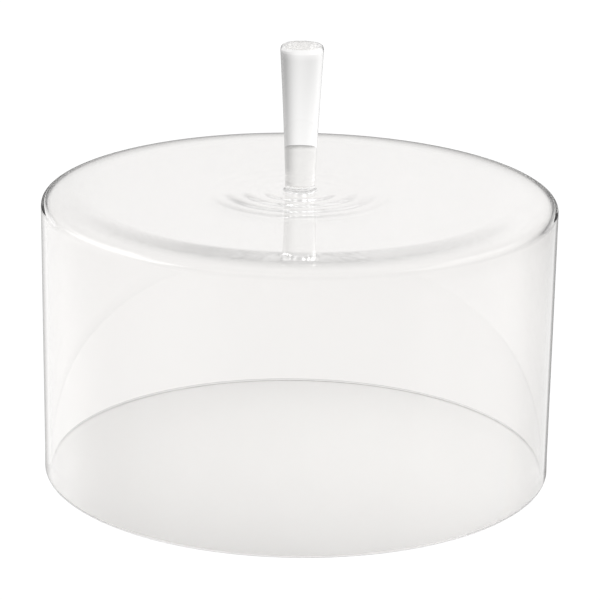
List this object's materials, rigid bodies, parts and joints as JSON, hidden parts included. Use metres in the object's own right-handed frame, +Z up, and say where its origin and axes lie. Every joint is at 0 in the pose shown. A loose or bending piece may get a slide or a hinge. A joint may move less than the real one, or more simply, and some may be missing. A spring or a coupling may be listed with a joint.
{
  "type": "glass cake dome",
  "caption": "Clear glass cake dome: a straight-sided bell with a rounded shoulder and a nearly flat top, open below, lifted by a solid tapered glass handle.",
  "frame": {"origin": "on the surface the dome stands on, at the middle of the open rim, which is the bottom centre of the bounding box", "axes": "+Z up along the axis of the bell and the handle; the dome is round, so +X and +Y are any two level directions at right angles"},
  "size_m": [0.2816, 0.2816, 0.2385],
  "materials": {
    "bell_glass": "clear blown soda-lime glass, fire-polished, smooth and glossy",
    "joint_glass": "clear glass, fused hot, smooth and glossy",
    "handle_glass": "clear solid glass, fire-polished, smooth and glossy"
  },
  "bodies": {
    "root": {"bell": "bell_glass", "joint_pad": "joint_glass", "handle": "handle_glass"}
  },
  "joints": []
}
